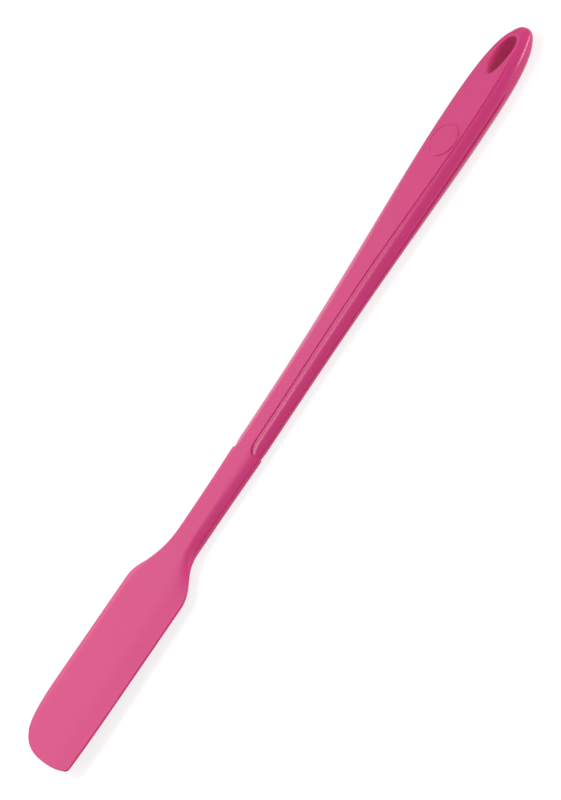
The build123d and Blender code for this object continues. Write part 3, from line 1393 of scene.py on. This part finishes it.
@dataclass(frozen=True)
class PolishedPolypropylene(DyedMoulding):
    """Polypropylene, injection-moulded over the core in a polished tool and dyed through."""

    # The polished tool gives the eye clear, narrow highlights. The plastic shrinks a little as it
    # sets, so they wander slightly over waves about 9 mm apart, and handling has dulled the skin
    # in soft patches.

    NAME = "polished_polypropylene"

    base: str = "D03076"
    pale: str = "D2347A"
    patch_mm: float = 5.0
    roughness: float = 0.2
    dull_roughness: float = 0.26
    ior: float = 1.49
    relief_mm: float = 9.0
    relief_detail: float = 1.0
    relief_strength: float = 0.06


@dataclass(frozen=True)
class GlassFilledNylon(Finish):
    """Glass-filled nylon, injection-moulded and left undyed."""

    # The short glass fibres give the eye a dull off-white, with faint streaks drawn out along the
    # flow. Real fibres are 0.01 mm thick, too fine to show, so the streaks are drawn 1.2 mm wide.

    NAME = "glass_filled_nylon"

    base: str = "D8D2C6"
    streak: str = "C4BCAC"
    streak_mm: float = 1.2
    streak_detail: float = 4.0
    flow_stretch: float = 0.12
    roughness: float = 0.55

    def _surface(self, tree: NodeTree, place: NodeSocket) -> dict:
        """The shader's inputs: off-white with streaks along the flow.

        Args:
            tree: the node tree.
            place: the socket with the place on the object.

        Returns:
            The inputs by name.
        """
        stretch = (self.flow_stretch, 1.0, 1.0)
        flow = add_node(tree, "ShaderNodeMapping", inputs={"Vector": place, "Scale": stretch})
        scale = 1.0 / (self.streak_mm * MM)
        streaks = add_node(
            tree,
            "ShaderNodeTexNoise",
            inputs={"Vector": flow.outputs[0], "Scale": scale, "Detail": self.streak_detail},
        )
        colour = add_node(
            tree,
            "ShaderNodeMix",
            {"data_type": "RGBA"},
            {0: streaks.outputs["Fac"], 6: linear(self.base), 7: linear(self.streak)},
        )
        return {"Base Color": colour.outputs[2], "Roughness": self.roughness}


@dataclass(frozen=True)
class Softbox:
    """A rectangular soft lamp: its place, aim and size in metres, and how bright it looks."""

    name: str
    place: tuple[float, float, float]
    aim: tuple[float, float, float]
    size: tuple[float, float]
    brightness: float


@dataclass(frozen=True)
class Studio:
    """A white table, three soft lamps, a dim room and the camera of the photograph."""

    SOFTBOXES = (
        Softbox("overhead_softbox", (-0.22, 0.34, 0.9), (-0.22, 0.0, 0.0), (0.76, 0.27), 4.9),
        Softbox("backdrop_softbox", (-0.6, 0.9, 0.48), (-0.6, 0.0, 0.0), (1.7, 1.0), 1.5),
        Softbox("low_softbox", (0.88, -0.5, 0.1), (0.13, 0.0, 0.0), (0.8, 0.19), 10.0),
    )

    # The camera's lengths in millimetres, and scale_at_aim in pixels to a millimetre
    view_distance: float = 1700.0
    aim: Vector = Vector((0.0, 0.0, 3.0))
    towards_camera: Vector = Vector((-0.145, -0.7735, 0.617))
    roll: float = math.radians(56.44)
    scale_at_aim: float = 3.1204
    aim_pixel: tuple[float, float] = (288.0, 391.65)
    image_size: tuple[int, int] = (561, 800)
    sensor: float = 36.0

    # Reaches in metres, and the table's colours: as it lights the object, and as it is seen
    clip: tuple[float, float] = (0.05, 20.0)
    floor_half: float = 4.0
    table: str = "E2E2E2"
    seen_table: str = "909090"
    seen_glow: float = 0.8
    fill_strength: float = 0.48

    def build(self) -> None:
        """Makes the floor, lamps, world and camera."""
        self._add_camera()
        self._add_floor()
        for softbox in self.SOFTBOXES:
            self._add_lamp(softbox)
        self._set_world()
        bpy.context.scene.view_settings.view_transform = "Standard"

    def _add_camera(self) -> None:
        """Places the camera so that the object falls where it does in the photograph."""
        back = self.towards_camera.normalized()
        level_up = back.cross(Vector((1.0, 0.0, 0.0))).normalized()
        level_right = level_up.cross(back)
        right = math.cos(self.roll) * level_right - math.sin(self.roll) * level_up
        up = math.sin(self.roll) * level_right + math.cos(self.roll) * level_up
        spot = self.aim + self.view_distance * back
        shift_right = (self.image_size[0] / 2.0 - self.aim_pixel[0]) / self.scale_at_aim
        shift_up = (self.aim_pixel[1] - self.image_size[1] / 2.0) / self.scale_at_aim
        target = self.aim + shift_right * right + shift_up * up
        look = (spot - target).normalized()
        right = up.cross(look).normalized()
        up = look.cross(right)
        data = bpy.data.cameras.new("camera")
        data.sensor_fit = "VERTICAL"
        data.sensor_height = self.sensor
        data.lens = self.scale_at_aim * self.view_distance * self.sensor / self.image_size[1]
        data.clip_start, data.clip_end = self.clip
        camera = bpy.data.objects.new("camera", data)
        turn = Matrix((right, up, look)).transposed().to_4x4()
        camera.matrix_world = Matrix.Translation(spot * MM) @ turn
        bpy.context.scene.collection.objects.link(camera)
        bpy.context.scene.camera = camera

    def _add_floor(self) -> None:
        """Makes the plain white table top, which shows white and keeps the object's shadow."""
        mesh = bmesh.new()
        bmesh.ops.create_grid(mesh, x_segments=1, y_segments=1, size=self.floor_half)
        floor = new_object("floor", mesh)
        floor.data.materials.append(self._table_material())

    def _table_material(self) -> Material:
        """White paint that looks white to the camera and in reflections, with a shadow on it.

        Returns:
            The material.
        """
        material = bpy.data.materials.new("white_table")
        tree = clear_nodes(material)
        white = add_node(tree, "ShaderNodeBsdfDiffuse", inputs={"Color": linear(self.table)})
        shade = add_node(tree, "ShaderNodeBsdfDiffuse", inputs={"Color": linear(self.seen_table)})
        glow = add_node(tree, "ShaderNodeEmission", inputs={"Strength": self.seen_glow})
        both = {0: shade.outputs[0], 1: glow.outputs[0]}
        seen = add_node(tree, "ShaderNodeAddShader", inputs=both)
        rays = add_node(tree, "ShaderNodeLightPath")
        straight = add_node(
            tree,
            "ShaderNodeMath",
            {"operation": "MAXIMUM"},
            {0: rays.outputs["Is Camera Ray"], 1: rays.outputs["Is Glossy Ray"]},
        )
        paint = add_node(
            tree,
            "ShaderNodeMixShader",
            inputs={0: straight.outputs[0], 1: white.outputs[0], 2: seen.outputs[0]},
        )
        add_node(tree, "ShaderNodeOutputMaterial", inputs={"Surface": paint.outputs[0]})
        return material

    def _add_lamp(self, softbox: Softbox) -> None:
        """Adds a soft lamp that faces the object.

        Args:
            softbox: the lamp's place, size and brightness.
        """
        data = bpy.data.lights.new(softbox.name, "AREA")
        data.shape = "RECTANGLE"
        data.size, data.size_y = softbox.size
        data.energy = math.pi * softbox.size[0] * softbox.size[1] * softbox.brightness
        lamp = bpy.data.objects.new(softbox.name, data)
        place = Vector(softbox.place)
        turn = (place - Vector(softbox.aim)).to_track_quat("Z", "Y").to_matrix().to_4x4()
        lamp.matrix_world = Matrix.Translation(place) @ turn
        lamp.visible_camera = False
        bpy.context.scene.collection.objects.link(lamp)

    def _set_world(self) -> None:
        """Fills the room with even white light, and shows the camera a white backdrop."""
        world = bpy.data.worlds.new("room")
        tree = clear_nodes(world)
        white = linear("FFFFFF")
        fill, backdrop = (
            add_node(tree, "ShaderNodeBackground", inputs={"Color": white, "Strength": strength})
            for strength in (self.fill_strength, 1.0)
        )
        rays = add_node(tree, "ShaderNodeLightPath")
        both = add_node(
            tree,
            "ShaderNodeMixShader",
            inputs={0: rays.outputs["Is Camera Ray"], 1: fill.outputs[0], 2: backdrop.outputs[0]},
        )
        add_node(tree, "ShaderNodeOutputWorld", inputs={"Surface": both.outputs[0]})
        bpy.context.scene.world = world


def dress(piece: Object, material: Material, nodes: list[str]) -> None:
    """Gives a piece its material and its place in the frame.

    Args:
        piece: the finished piece.
        material: what it is made of.
        nodes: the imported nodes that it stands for.
    """
    piece.data.materials.clear()
    piece.data.materials.append(material)
    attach(piece, BODY)
    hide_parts(*nodes)
    log.info("%s stands for %s", piece.name, ", ".join(nodes))


def main() -> None:
    """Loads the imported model, builds the pieces in order and sets the stage."""
    logging.basicConfig(level=logging.INFO, format="%(message)s")
    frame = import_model()
    form = Form.from_frame()
    dress(SiliconeHead(form).build(), MouldedSilicone().material(), ["silicone_head"])
    dress(HandleGrip(form).build(), PolishedPolypropylene().material(), ["handle_grip"])
    core = frame["nodes"]["stiffening_core"]
    core.data.materials.clear()
    core.data.materials.append(GlassFilledNylon().material())
    Studio().build()
    log.info("sizes written")


if __name__ == "__main__":
    main()
